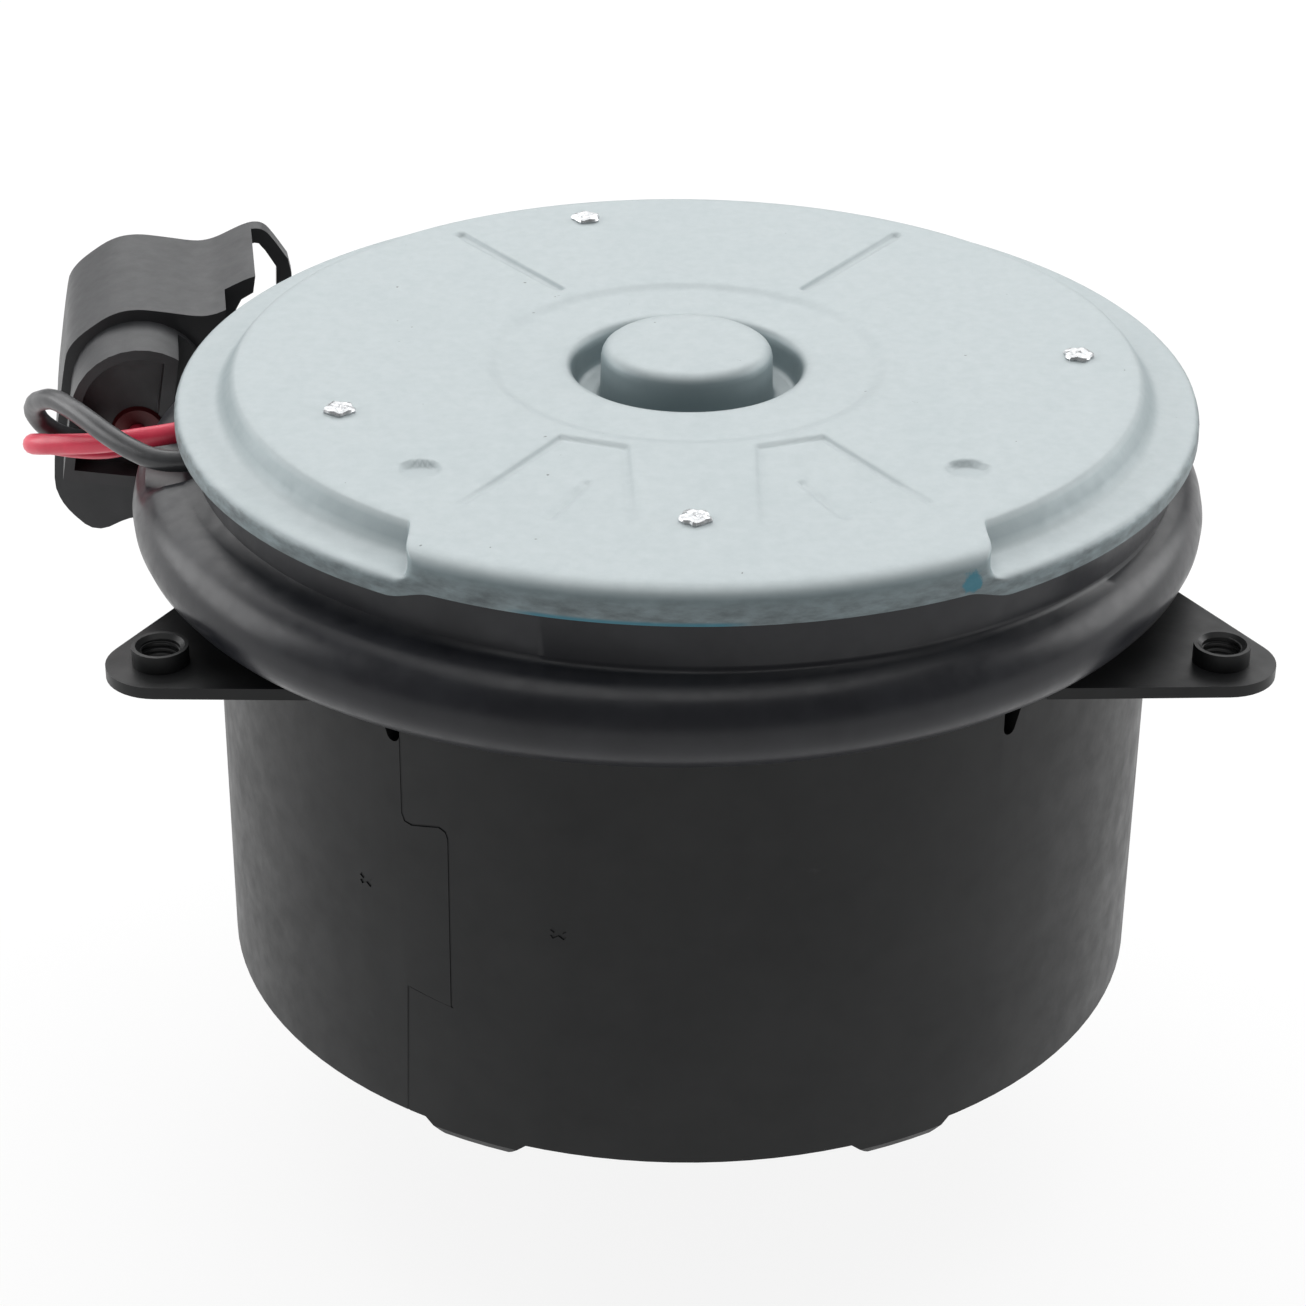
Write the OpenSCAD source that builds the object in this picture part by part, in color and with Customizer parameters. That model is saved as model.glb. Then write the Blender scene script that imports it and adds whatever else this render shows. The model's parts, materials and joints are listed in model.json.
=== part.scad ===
// Closed-end permanent-magnet DC motor for a blower or cooling fan.
// Origin: on the shaft axis, in the plane of the mounting ears' underside.
// +Z points along the shaft towards the closed end; the output shaft points down.

/* [Yoke] */
// Outer radius of the rolled steel drum
yoke_r = 53; // [52:0.5:54]
// Wall of the drum
yoke_wall = 2.5; // [2:0.1:2.8]
// Depth of the drum below the mounting ears
yoke_depth = 48.3; // [46:0.1:50]
// Height of the drum's mouth above the ears' underside
yoke_mouth = 3.5; // [3:0.1:4]

/* [Mounting ears] */
// Radius from the shaft axis to each tapped hole
ear_hole_r = 64.3; // [62:0.1:66]
// Radius of an ear's rounded tip
ear_tip_r = 5.8; // [5.5:0.1:7]
// Slope of an ear's flanks, in degrees
ear_flank = 31; // [25:1:35]
// Sheet thickness of an ear
ear_t = 1.3; // [1.2:0.1:1.8]
// Outer radius of the drawn boss round each hole
ear_boss_r = 3; // [2.9:0.05:3.6]
// Height of the boss above the ear
ear_boss_h = 2; // [1.2:0.1:2.2]
// Radius of the tapped hole, M5 minor size
ear_tap_r = 2.1; // [2:0.05:2.2]

/* [End plate] */
// Sheet thickness of the end plate
plate_t = 1.2; // [1:0.1:1.3]
// Outer radius of the plate's flange
plate_r = 56.5; // [56:0.1:57]
// Height of the raised face
face_z = 21.9; // [21:0.1:23]
// Height of the lower flange round the face
flange_z = 19; // [18.5:0.1:19.5]
// Radius of the raised face at the start of its step
face_r = 49.5; // [49:0.1:50]
// Outer radius of the bush cup in the middle
cup_r = 9.5; // [9.3:0.1:10]
// Height of the bush cup's top
cup_z = 23.7; // [23:0.1:24.5]

/* [Rotor] */
// Radius of the shaft
shaft_r = 4; // [4:4]
// Length of the shaft below the drum
shaft_out = 29; // [26:1:31]
// Radius of the laminated core
core_r = 41.4; // [41:0.1:41.8]
// Number of core slots
slots = 12; // [12:12]
// Number of commutator bars
bars = 24; // [24:24]
// Radius of the commutator
commutator_r = 12.5; // [12:0.1:13]

/* [Connector] */
// Turn of the connector away from the motor, in degrees
plug_yaw = 7; // [0:1:8]
// Roll of the connector about its own axis, in degrees
plug_roll = 9.7; // [6:0.1:12]
// Length of the connector's hood
hood_l = 25; // [22:1:26]
// Outer radius of a lead
lead_r = 1.2; // [1.1:0.05:1.3]

/* [Hidden] */
$fn = 96;
eps = 0.01;
drum_z = -yoke_depth;
yoke_in = yoke_r - yoke_wall;
ear_top = ear_t;
ear_angles = [-150, -30, 90];
relief_z = -2.1;             // bottom of the bend reliefs beside each ear
relief_w = 3.2;
reliefs = [[-172.8, -1], [-126.6, 1], [-51.4, -1], [-7.2, 1], [67.2, -1], [112.8, 1]];

lug_angles = [-116.3, -64.2, 63.7, 115.8];
lug_w = 12.6;                // width of a lug at the drum's edge
lug_foot_w = 6.4;            // and at its folded foot
lug_out = yoke_r - 0.2;
bracket_t = 2;
bracket_z = drum_z - 0.3;    // underside of the output bracket's rim
lug_low = bracket_z - 2.2;

seam_w = 0.3;
seam_depth = 0.15;
seam_a = -121.6;             // middle of the seam's interlocking key
seam_path = [
    [-2.9, 5], [-2.9, -10.4], [-2.6, -11.2], [-1.8, -11.4], [1.6, -10.6], [2.5, -11], [2.8, -11.9],
    [2.7, -32.7], [-2.8, -31.9], [-3.4, -50]
];
stake_marks = [[-130.6, -20.6], [-105.4, -20.4]];

ring_low = 2.2;
bead_r = 5;                  // round bead of the sealing ring
bead_z = ring_low + bead_r;
bead_out = 59.8;             // widest radius of the bead, from the ring's own centre
ring_shift = [-2, 0, 0];     // the soft ring sits towards the leads
collar_in = 51.2;
collar_out = 54.6;
exit_from = 172;             // the window for the leads
exit_span = 26;
exit_z = 10.2;
exit_notch_z = 10.5;         // the bead is cut down to this where the leads cross it

front_x = 28.7;              // half width of the part where the raised face reaches the rim
front_from = -118.5;         // its turned-down skirt is shorter over this sector
front_span = 57;
front_r = 56.3;
front_skirt_z = 18.1;
skirt_z = 17;
well_z = 17.5;
well_r = 12.6;
dish_r = 21.4;
dish_z = face_z - 0.4;
groove_d = 0.35;
groove_w = 0.9;
rivet_places = [[40, -159.3], [40.5, -90.3], [43.5, 0.7], [44, 104.7]];
rivet_head_r = 1.65;
rivet_head_h = 0.7;
rivet_r = 1.1;

magnet_in = 42.4;
magnet_low = -41;
magnet_high = -9;
magnet_span = 74;
core_low = -34;
core_high = -10;
insulator_t = 1;
turns_h = 6.2;
turns_in = 19;
turns_out = 38.5;
bar_low = 0.5;
bar_high = 9;

card_z = 9.8;
card_t = 2;
card_top = card_z + card_t;
card_in = 14.5;
card_out = 49.4;
brush_angles = [45, 135, 225, 315];
brush_w = 6.2;
brush_h = 5.2;
brush_z = 6.3;
brush_gap = 0.15;
brush_back = 24;
tube_in_w = 6.5;
tube_in_h = 5.5;
tube_wall = 0.75;
tube_from = 14.2;
tube_to = 34.9;
slot_from = 16.5;
slot_to = 25.5;
bus_t = 0.8;
bus_inner = 27;
bus_outer = 32;
bus_w = 3;
bus_mid = [bus_inner + bus_w / 2, bus_outer + bus_w / 2];
choke_angles = [179.5, 189.5];
choke_from = 36.5;
choke_l = 11;
choke_r = 2.9;
choke_z = card_top + choke_r + 0.1;

bush_r = 7;
bush_z = 17.6;
bush_half = 4.2;
bearing_r = 11;
bearing_w = 7;
bearing_z = -53.9;
bearing_wall = 1.8;
race_w = 1.8;

// Connector frame: its origin is on the shoulder plane, on the middle of the body
plug_at = [-65.85, 31.4, 0];
pins = [[0, 1.2, 3.2], [-5.6, 0.6, 2]];   // the two contacts: across, up, radius of the wire's seal
barrel_l = 9;
barrel_low = -4.6;
recess_y = -5.4;             // floor of the recess the leads go into
socket_floor = 4;
guard_from = 6.5;            // the latch's guard starts this far behind the shoulder
guard_lip = 12.5;            // how far its lip reaches across
guard_bar = 22.5;            // and where the bar round the latch's tip starts
hood_outline = [
    [-9.4, -8.8], [-9.4, 7.3], [-8.9, 8.9], [-7.8, 10.5], [-5.2, 13], [-3.3, 14.1], [-1.1, 14.6], [2, 14.6],
    [6.1, 14.5], [8.2, 15.2], [11.2, 17.3], [12.6, 18], [13.8, 18.1], [14.9, 17.5], [19, 12.9], [19, -9],
    [15, -12.6], [5, -12.9], [1.1, -12.6], [-3.4, -15.6], [-7.6, -12.4]
];
guard_window = [
    [10.7, 10], [10.7, 14.3], [12.9, 16.1], [13.9, 16.1], [17, 12.4], [17, -8.4], [14.4, -10.8],
    [9, -10.8], [9, 8.4]
];
latch_x = 10.8;
pocket_x = 10.2;             // how deep the bracket's tab goes into its pocket
foot_a = 133;                // the bracket's foot on the drum
foot_t = 1.2;
foot_low = -19.5;
foot_high = -4.5;

// Route of each lead: from its choke, out under the plate, round and into the connector
red_route = [
    [-47, 0.4, 14.8], [-50, 0.4, 14.4], [-53.2, 0.3, 13.7], [-56.6, 0.3, 12.8], [-60.2, 0.9, 11.9],
    [-63.8, 2, 10.9], [-67.4, 3.5, 9.9], [-70.7, 5.3, 9], [-73.3, 7.4, 8], [-74.7, 9.9, 6.9],
    [-74.6, 12.6, 5.7], [-73.1, 14.8, 4.5], [-71, 16.4, 3.4], [-68.7, 18, 2.5], [-66.7, 20, 1.8],
    [-65.5, 22.4, 1.3], [-65, 25.2, 1.1], [-65.2, 28.1, 1.1]
];
black_route = [
    [-46.6, -7.8, 14.8], [-49.4, -8.3, 14.4], [-52.4, -8.5, 13.8], [-55.4, -8.2, 13.2], [-58.3, -7.2, 13],
    [-61.1, -5.2, 13.2], [-63.9, -2.5, 13.6], [-66.6, 0.7, 14], [-69.1, 4.1, 14], [-71.4, 7.5, 13.5],
    [-73.4, 10.8, 12], [-74.8, 13.7, 10.1], [-75.2, 15.9, 7.9], [-74.3, 17.3, 5.7], [-72.4, 18.7, 3.8],
    [-70.4, 21, 2.4], [-70.3, 23.9, 1.5], [-70.8, 26.8, 1.3]
];

// ---- shared shapes ----

// A ring, or a stretch of one, with a rectangular section
module band(r_in, r_out, z_low, z_high, from = 0, span = 360) {
    rotate([0, 0, from])
        rotate_extrude(angle = span)
            translate([r_in, z_low])
                square([r_out - r_in, z_high - z_low]);
}

// A turned shape from points [radius, height]
module turned(points, from = 0, span = 360) {
    rotate([0, 0, from])
        rotate_extrude(angle = span)
            polygon(points);
}

// Children moved out to a radius at an angle, turned to face outwards
module at(r, a, z = 0) {
    rotate([0, 0, a])
        translate([r, 0, z])
            children();
}

// A box from one radius to another along X, centred on Y
module bar(x_from, x_to, width, z_low, z_high) {
    translate([x_from, -width / 2, z_low])
        cube([x_to - x_from, width, z_high - z_low]);
}

// Points of a quarter turn: centre, radius, first and last angle
function arc(c, r, a0, a1, n = 5) =
    [for (i = [0:n]) c + r * [cos(a0 + (a1 - a0) * i / n), sin(a0 + (a1 - a0) * i / n)]];

function unit(v) = v / norm(v);

function heading(p, i) = unit(p[min(i + 1, len(p) - 1)] - p[max(i - 1, 0)]);

// A round tube swept along points, as one closed polyhedron
module swept(p, r, sides = 8) {
    rings = [
        for (i = [0:len(p) - 1])
            let (t = heading(p, i), u = unit(cross(t, [0.1, 0.2, 1])), v = cross(t, u))
                for (k = [0:sides - 1]) p[i] + r * (u * cos(360 * k / sides) + v * sin(360 * k / sides))
    ];
    last = len(p) - 1;
    polyhedron(
        points = rings,
        faces = concat(
            [[for (k = [0:sides - 1]) k]],
            [[for (k = [sides - 1:-1:0]) last * sides + k]],
            [
                for (i = [0:last - 1], k = [0:sides - 1])
                    [i * sides + k, (i + 1) * sides + k, (i + 1) * sides + (k + 1) % sides]
            ],
            [
                for (i = [0:last - 1], k = [0:sides - 1])
                    [i * sides + k, (i + 1) * sides + (k + 1) % sides, i * sides + (k + 1) % sides]
            ]
        )
    );
}

// ---- drum ----

module ear() {
    tip = ear_tip_r;
    tangent_x = ear_hole_r + tip * sin(ear_flank);
    tangent_y = tip * cos(ear_flank);
    root_x = yoke_in - 2;
    root_y = tangent_y + (tangent_x - root_x) * tan(ear_flank);
    difference() {
        union() {
            linear_extrude(ear_t) {
                translate([ear_hole_r, 0])
                    circle(r = tip);
                polygon([[root_x, -root_y], [tangent_x, -tangent_y], [tangent_x, tangent_y], [root_x, root_y]]);
            }
            translate([ear_hole_r, 0, 0])
                cylinder(r = ear_boss_r, h = ear_top + ear_boss_h);
        }
        translate([ear_hole_r, 0, -1])
            cylinder(r = ear_tap_r, h = ear_top + ear_boss_h + 2);
        translate([ear_hole_r, 0, ear_top + ear_boss_h - 0.5])
            cylinder(r1 = ear_tap_r - 0.1, r2 = ear_tap_r + 0.6, h = 0.6);
        translate([0, 0, -1])
            cylinder(r = yoke_in + 0.1, h = ear_t + 2);
    }
}

// Children drawn across and up, pushed outwards along the radius at an angle
module on_wall(r, a, depth) {
    at(r, a)
        rotate([90, 0, 90])
            linear_extrude(depth)
                children();
}

// A tongue of the wall folded under the output bracket, narrowing to a rounded foot
module crimp_lug() {
    half = lug_foot_w / 2;
    intersection() {
        turned(
            [
                [yoke_in + 0.2, drum_z + 0.5], [lug_out, drum_z + 0.5], [lug_out, drum_z - 1],
                [lug_out - 0.5, drum_z - 1.9], [lug_out - 1.7, lug_low],
                [yoke_in - 4, lug_low], [yoke_in - 4, bracket_z], [yoke_in + 0.2, bracket_z]
            ],
            -10,
            20
        );
        on_wall(44, 0, 12)
            polygon([
                [-lug_w / 2, drum_z + 2], [-lug_w / 2, drum_z], [-half - 1.2, drum_z - 1.6],
                [-half, lug_low + 0.2], [-half + 1, lug_low - 1], [half - 1, lug_low - 1],
                [half, lug_low + 0.2], [half + 1.2, drum_z - 1.6], [lug_w / 2, drum_z], [lug_w / 2, drum_z + 2]
            ]);
    }
}

// The butt joint of the rolled sheet, a fine groove along the outline of its key
module seam() {
    edge = [
        for (side = [-1, 1], i = [0:len(seam_path) - 1])
            let (k = side > 0 ? i : len(seam_path) - 1 - i, t = heading(seam_path, k))
                seam_path[k] + side * seam_w / 2 * [-t[1], t[0]]
    ];
    on_wall(yoke_r - seam_depth, seam_a, 2)
        polygon(edge);
}

// The slot beside an ear's root: one upright side, a round bottom and a slanting side
module relief(a, side) {
    half = relief_w / 2;
    on_wall(yoke_in - 3, a, 8)
        scale([side, 1])
            polygon(concat(
                [[half, yoke_mouth + 1]],
                arc([half - 0.8, relief_z + 0.8], 0.8, 0, -150),
                [[-half - 0.6, yoke_mouth + 1]]
            ));
}

module yoke() color([0.16, 0.16, 0.17]) difference() {
    union() {
        band(yoke_in, yoke_r, drum_z, yoke_mouth);
        for (a = ear_angles)
            rotate([0, 0, a])
                ear();
        for (a = lug_angles)
            rotate([0, 0, a])
                crimp_lug();
    }
    for (r = reliefs)
        relief(r[0], r[1]);
    seam();
    for (m = stake_marks, tilt = [-35, 35])
        at(yoke_r, m[0], m[1])
            rotate([tilt, 0, 0])
                translate([-0.12, -0.9, -0.25])
                    cube([1, 1.8, 0.5]);
}

module output_bracket() color([0.2, 0.2, 0.21]) difference() {
    rim = yoke_in - 0.1;
    top = bracket_z + bracket_t;
    turned([
        [6.5, bearing_z - bearing_wall], [bearing_r + bearing_wall - 1, bearing_z - bearing_wall],
        [bearing_r + bearing_wall, bearing_z - bearing_wall + 1], [bearing_r + bearing_wall, bracket_z - 1],
        [bearing_r + bearing_wall + 1, bracket_z], [26, bracket_z], [27.5, bracket_z + 1.5], [38, bracket_z + 1.5],
        [39.5, bracket_z], [rim, bracket_z], [rim, top], [38.8, top], [37.3, top + 1.5], [28.2, top + 1.5],
        [26.7, top], [bearing_r, top], [bearing_r, bearing_z], [6.5, bearing_z]
    ]);
    for (a = [30, 150, 270])
        at(33, a, bracket_z)
            cylinder(r = 2.5, h = 5);
}

module magnet(i) color([0.24, 0.24, 0.25])
    band(magnet_in, yoke_in, magnet_low, magnet_high, 90 * i - magnet_span / 2, magnet_span);

module magnet_clips() color([0.62, 0.62, 0.6]) for (a = [45, 135, 225, 315]) rotate([0, 0, a])
    translate([0, 0, -37])
        linear_extrude(24) {
            translate([49.3, -5.6])
                square([0.8, 11.2]);
            for (y = [-5.6, 4.8])
                translate([43.6, y])
                    square([6, 0.8]);
        }

// ---- closed end ----

// Half section of the plate's upper side (drop 0) or of its underside (drop = sheet), filled down
module plate_half(drop, low) {
    side = drop * 0.6;           // how far a sloping wall moves in as the sheet's underside
    polygon(concat(
        [[0, low], [0, cup_z - drop]],
        drop > 0 ? [[cup_r - drop, cup_z - drop]] : arc([cup_r - 1.2, cup_z - 1.2], 1.2, 90, 0),
        [[cup_r - drop, well_z - drop], [well_r + drop, well_z - drop]],
        drop > 0 ? [[well_r + drop, dish_z - drop]] : arc([well_r + 0.8, dish_z - 0.8], 0.8, 180, 90),
        [
            [dish_r + side / 2, dish_z - drop], [dish_r + 0.6 + side / 2, face_z - drop],
            [face_r - side, face_z - drop], [face_r + 1.8 - side, flange_z - drop]
        ],
        drop > 0 ? [[plate_r - drop, flange_z - drop]] : arc([plate_r - 1, flange_z - 1], 1, 90, 0),
        [[plate_r - drop, low]]
    ));
}

// The part where the raised face runs out to the rim and turns down, filled the same way
module front_half(drop, low) {
    side = drop * 0.6;
    half = front_x - drop;
    intersection() {
        turned(concat(
            [[0, low], [0, face_z - drop - 0.6], [face_r - 3, face_z - drop - 0.6], [face_r - side, face_z - drop]],
            arc([front_r - 1.8, face_z - 1.8], 1.8 - drop, 90, 0),
            [[front_r - drop, low]]
        ));
        translate([-half, -plate_r - 1, low - 1])
            cube([2 * half, plate_r + 1 - 30, 10]);
    }
}

// A pressed line between two points on the face
module crease(p, q) {
    along = q - p;
    translate([p[0], p[1], face_z - groove_d])
        rotate([0, 0, atan2(along[1], along[0])])
            bar(0, norm(along), groove_w, 0, 1);
}

module face_creases() {
    corners = [[23.65, -36.6], [13.85, -20.55], [6.9, -23.1], [6.45, -41.4]];
    for (side = [-1, 1])
        scale([side, 1, 1]) {
            for (i = [0:2])
                crease(corners[i], corners[i + 1]);
            crease([14.8, -40.1], [11, -31.4]);
        }
    for (a = [55, 125]) {
        crease(25 * [cos(a), sin(a)], 45.7 * [cos(a), sin(a)]);
        at(45.7, a, face_z - groove_d)
            cylinder(r = 0.8, h = 1);
    }
    for (a = [-134.5, -45.5])
        at(40.3, a, face_z - groove_d)
            cylinder(r = 1.7, h = 1);
}

module end_plate() color([0.76, 0.79, 0.8]) difference() {
    union() {
        rotate_extrude()
            plate_half(0, skirt_z);
        front_half(0, skirt_z + 0.5);
    }
    rotate_extrude()
        plate_half(plate_t, skirt_z - 1);
    front_half(plate_t, skirt_z - 1);
    band(plate_r - 3, plate_r + 1, skirt_z - 2, front_skirt_z, front_from, front_span);
    face_creases();
    for (p = rivet_places)
        at(p[0], p[1], face_z - plate_t - 1)
            cylinder(r = rivet_r, h = plate_t + 2);
}

module plate_rivets() color([0.9, 0.91, 0.91]) for (p = rivet_places) at(p[0], p[1]) {
    translate([0, 0, face_z])
        cylinder(r1 = rivet_head_r, r2 = rivet_head_r - 0.45, h = rivet_head_h);
    translate([0, 0, card_z])
        cylinder(r = rivet_r, h = face_z - card_z);
}

module sealing_ring() color([0.13, 0.13, 0.14]) difference() {
    union() {
        translate(ring_shift)
            turned(concat(
                [[collar_in - 2.5, ring_low]],
                arc([bead_out - bead_r, bead_z], bead_r, -90, 90, 16),
                [[collar_in - 2.5, bead_z + bead_r]]
            ));
        band(collar_in - 1, collar_out, bead_z, flange_z - plate_t);
        band(collar_in - 1, collar_out - 0.2, bead_z, face_z - plate_t - 0.4, front_from + 1, front_span - 2);
    }
    translate([0, 0, ring_low - 1])
        cylinder(r = yoke_r, h = yoke_mouth - ring_low + 1);
    cylinder(r = collar_in, h = 30);
    band(collar_in - 2, collar_out + 0.5, exit_z, 30, exit_from, exit_span);
    band(collar_out - 1, bead_out + 5, exit_notch_z, 30, exit_from + 2, exit_span - 4);
}

module lead_grommet() color([0.1, 0.1, 0.11]) difference() {
    union() {
        band(collar_in, collar_out, exit_z, flange_z - plate_t, exit_from, exit_span);
        band(collar_in - 1.4, collar_in, exit_z - 1.2, flange_z - plate_t - 0.3, exit_from - 2, exit_span + 4);
    }
    for (route = [red_route, black_route])
        swept([for (i = [0:5]) route[i]], lead_r + 0.02);
}

// ---- brush gear ----

module brush_card() color([0.35, 0.2, 0.12]) difference() {
    union() {
        band(card_in, card_out, card_z, card_top);
        for (p = rivet_places)
            at(p[0], p[1], card_z + 0.5)
                cylinder(r = 3.2, h = face_z - plate_t - card_z - 0.5);
    }
    for (p = rivet_places)
        at(p[0], p[1], card_z - 1)
            cylinder(r = rivet_r, h = 20);
    for (a = brush_angles)
        rotate([0, 0, a])
            bar(slot_from, slot_to, 2.6, card_z - 1, card_top + 1);
}

module brush_tubes() color([0.78, 0.62, 0.3]) for (a = brush_angles) rotate([0, 0, a]) difference() {
    low = brush_z - tube_in_h / 2;
    high = brush_z + tube_in_h / 2;
    bar(tube_from, tube_to, tube_in_w + 2 * tube_wall, low - tube_wall, card_z);
    bar(tube_from - 1, tube_to - tube_wall, tube_in_w, low, high);
    bar(slot_from, slot_to, 2.6, high - 1, card_z + 1);
}

module brush(i) color([0.2, 0.19, 0.19]) rotate([0, 0, brush_angles[i]]) difference() {
    bar(commutator_r - 1, brush_back, brush_w, brush_z - brush_h / 2, brush_z + brush_h / 2);
    translate([0, 0, brush_z - brush_h])
        cylinder(r = commutator_r + brush_gap, h = 2 * brush_h);
}

module brush_spring(i) color([0.7, 0.71, 0.72]) rotate([0, 0, brush_angles[i]])
    translate([brush_back, 0, brush_z])
        rotate([0, 90, 0])
            band(1.7, 2.3, 0, tube_to - tube_wall - brush_back);

module brush_pigtail(i) color([0.72, 0.42, 0.26]) rotate([0, 0, brush_angles[i]]) {
    top = brush_z + brush_h / 2;
    reach = bus_mid[i % 2];
    swept(
        [
            [18.6, 0, top + 0.05], [18.6, 0, top + 2.2], [19.8, 0, top + 4.8], [22, 0, top + 6.2],
            [(19.8 + reach) / 2 + 1.5, 0, top + 6.6], [reach - 2, 0, top + 5.9],
            [reach, 0, card_top + bus_t + 1.2], [reach, 0, card_top + bus_t]
        ],
        0.8
    );
}

module bus(r, from) {
    band(r, r + bus_w, card_top, card_top + bus_t, from, 184);
}

module bus_positive() color([0.74, 0.6, 0.3])
    bus(bus_inner, 43);

module bus_negative() color([0.74, 0.6, 0.3])
    bus(bus_outer, 133);

module choke_cores() color([0.28, 0.28, 0.3]) for (a = choke_angles) at(choke_from - 0.8, a, choke_z)
    rotate([0, 90, 0])
        cylinder(r = 1.9, h = choke_l + 1.2);

module choke_coils() color([0.66, 0.34, 0.16]) for (a = choke_angles) at(choke_from, a, choke_z)
    rotate([0, 90, 0])
        band(1.9, choke_r, 0, choke_l - 0.8);

module capacitor() color([0.55, 0.2, 0.12]) at(40, 60, card_top) {
    translate([-2.2, -6, 0])
        cube([4.4, 12, 6.4]);
}

// ---- bearings ----

module rear_bush() color([0.6, 0.47, 0.3]) translate([0, 0, bush_z]) difference() {
    intersection() {
        sphere(r = bush_r);
        translate([0, 0, -bush_half])
            cylinder(r = bush_r + 1, h = 2 * bush_half);
    }
    translate([0, 0, -bush_half - 1])
        cylinder(r = shaft_r + 0.03, h = 2 * bush_half + 2);
}

module bush_retainer() color([0.68, 0.69, 0.7]) difference() {
    band(6.9, 12.6, well_z - plate_t - 0.8, well_z - plate_t);
    for (a = [0:45:315])
        rotate([0, 0, a])
            bar(6, 9.8, 1, well_z - plate_t - 2, well_z);
}

module oil_felt() color([0.75, 0.7, 0.6])
    band(bush_r + 0.1, cup_r - plate_t - 0.05, bush_z - 0.6, cup_z - plate_t - 0.1);

module bearing_outer_race() color([0.78, 0.79, 0.8])
    band(bearing_r - race_w, bearing_r, bearing_z, bearing_z + bearing_w);

module bearing_inner_race() color([0.78, 0.79, 0.8])
    band(shaft_r, shaft_r + race_w, bearing_z, bearing_z + bearing_w);

module bearing_balls() color([0.86, 0.87, 0.88]) for (a = [0:45:315]) at(7.5, a, bearing_z + bearing_w / 2)
    sphere(r = 1.6);

module bearing_shields() color([0.66, 0.67, 0.68])
    for (z = [bearing_z + 0.3, bearing_z + bearing_w - 0.6])
        band(shaft_r + race_w + 0.3, bearing_r - race_w, z, z + 0.3);

// ---- rotor ----

module shaft() color([0.72, 0.73, 0.74]) difference() {
    thread_z = drum_z - shaft_out;
    step_z = thread_z + 9.3;
    groove_z = -59.4;            // ring groove that backs the slinger
    turned([
        [0, thread_z], [2.5, thread_z], [3, thread_z + 0.5], [3, step_z], [shaft_r - 0.4, step_z],
        [shaft_r, step_z + 0.4], [shaft_r, groove_z], [shaft_r - 0.4, groove_z],
        [shaft_r - 0.4, groove_z + 0.8], [shaft_r, groove_z + 0.8],
        [shaft_r, 21.4], [shaft_r - 0.4, 21.8], [0, 21.8]
    ]);
    translate([shaft_r - 0.8, -5, step_z - eps])
        cube([5, 10, 3.6]);
}

module slot_shape(gap) {
    polygon([
        [23 + gap, -3 + gap], [39.4 - gap, -7 + gap], [40.4 - gap, -1.2], [43, -1.2],
        [43, 1.2], [40.4 - gap, 1.2], [39.4 - gap, 7 - gap], [23 + gap, 3 - gap]
    ]);
}

module lamination(z_low, z_high, r) {
    translate([0, 0, z_low])
        linear_extrude(z_high - z_low)
            difference() {
                circle(r = r);
                circle(r = shaft_r);
                for (i = [0:slots - 1])
                    rotate(360 / slots * i)
                        slot_shape(0);
            }
}

module armature_core() color([0.45, 0.46, 0.48])
    lamination(core_low, core_high, core_r);

module slot_insulators() color([0.3, 0.45, 0.35]) for (z = [core_low - insulator_t, core_high])
    lamination(z, z + insulator_t, core_r - 0.6);

module armature_winding() color([0.66, 0.33, 0.15]) {
    low = core_low - insulator_t;
    high = core_high + insulator_t;
    translate([0, 0, low - 0.5])
        linear_extrude(high - low + 1)
            for (i = [0:slots - 1])
                rotate(360 / slots * i)
                    polygon([[23.4, -2.5], [38.9, -6.4], [38.9, 6.4], [23.4, 2.5]]);
    for (z = [low - turns_h, high])
        turned([
            [turns_in + 1.5, z], [turns_out - 2, z], [turns_out, z + 2], [turns_out, z + turns_h - 2],
            [turns_out - 2, z + turns_h], [turns_in + 1.5, z + turns_h], [turns_in, z + turns_h - 1.5],
            [turns_in, z + 1.5]
        ]);
}

module commutator_hub() color([0.22, 0.15, 0.12])
    band(shaft_r, commutator_r - 3, -2, bar_high);

module commutator_bars() color([0.74, 0.46, 0.3]) for (i = [0:bars - 1]) {
    pitch = 360 / bars;
    band(commutator_r - 3, commutator_r, bar_low, bar_high, i * pitch + 0.5, pitch - 1);
    band(commutator_r - 1, commutator_r + 1.6, bar_low - 1.4, bar_low + 0.4, i * pitch + 4, pitch - 8);
}

module shaft_spacer() color([0.6, 0.6, 0.62])
    band(shaft_r, shaft_r + 1.5, bar_high, 12);

module thrust_washers() color([0.82, 0.8, 0.74]) for (z = [12, 12.6])
    band(shaft_r, shaft_r + 2.4, z, z + 0.5);

module shaft_circlip() color([0.3, 0.3, 0.32])
    band(shaft_r, shaft_r + 1.6, bearing_z + bearing_w, bearing_z + bearing_w + 1, 20, 320);

module water_slinger() color([0.12, 0.12, 0.12])
    turned([
        [shaft_r, -57.8], [10.5, -57.8], [11.5, -57], [11.5, -56.2], [10.7, -56.2], [10.2, -56.8], [shaft_r, -56.8]
    ]);

// ---- leads and connector ----

module lead_red() color([0.8, 0.1, 0.16])
    swept(red_route, lead_r);

module lead_black() color([0.14, 0.14, 0.15])
    swept(black_route, lead_r);

// Children in the connector's own frame: X across, Y towards the mating end, Z up the body
module in_plug() {
    translate(plug_at)
        rotate([0, 0, plug_yaw])
            rotate([0, plug_roll, 0])
                children();
}

// Children drawn across and up, pushed from one depth of the connector to another
module through(y_from, y_to) {
    translate([0, y_to, 0])
        rotate([90, 0, 0])
            linear_extrude(y_to - y_from)
                children();
}

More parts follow.
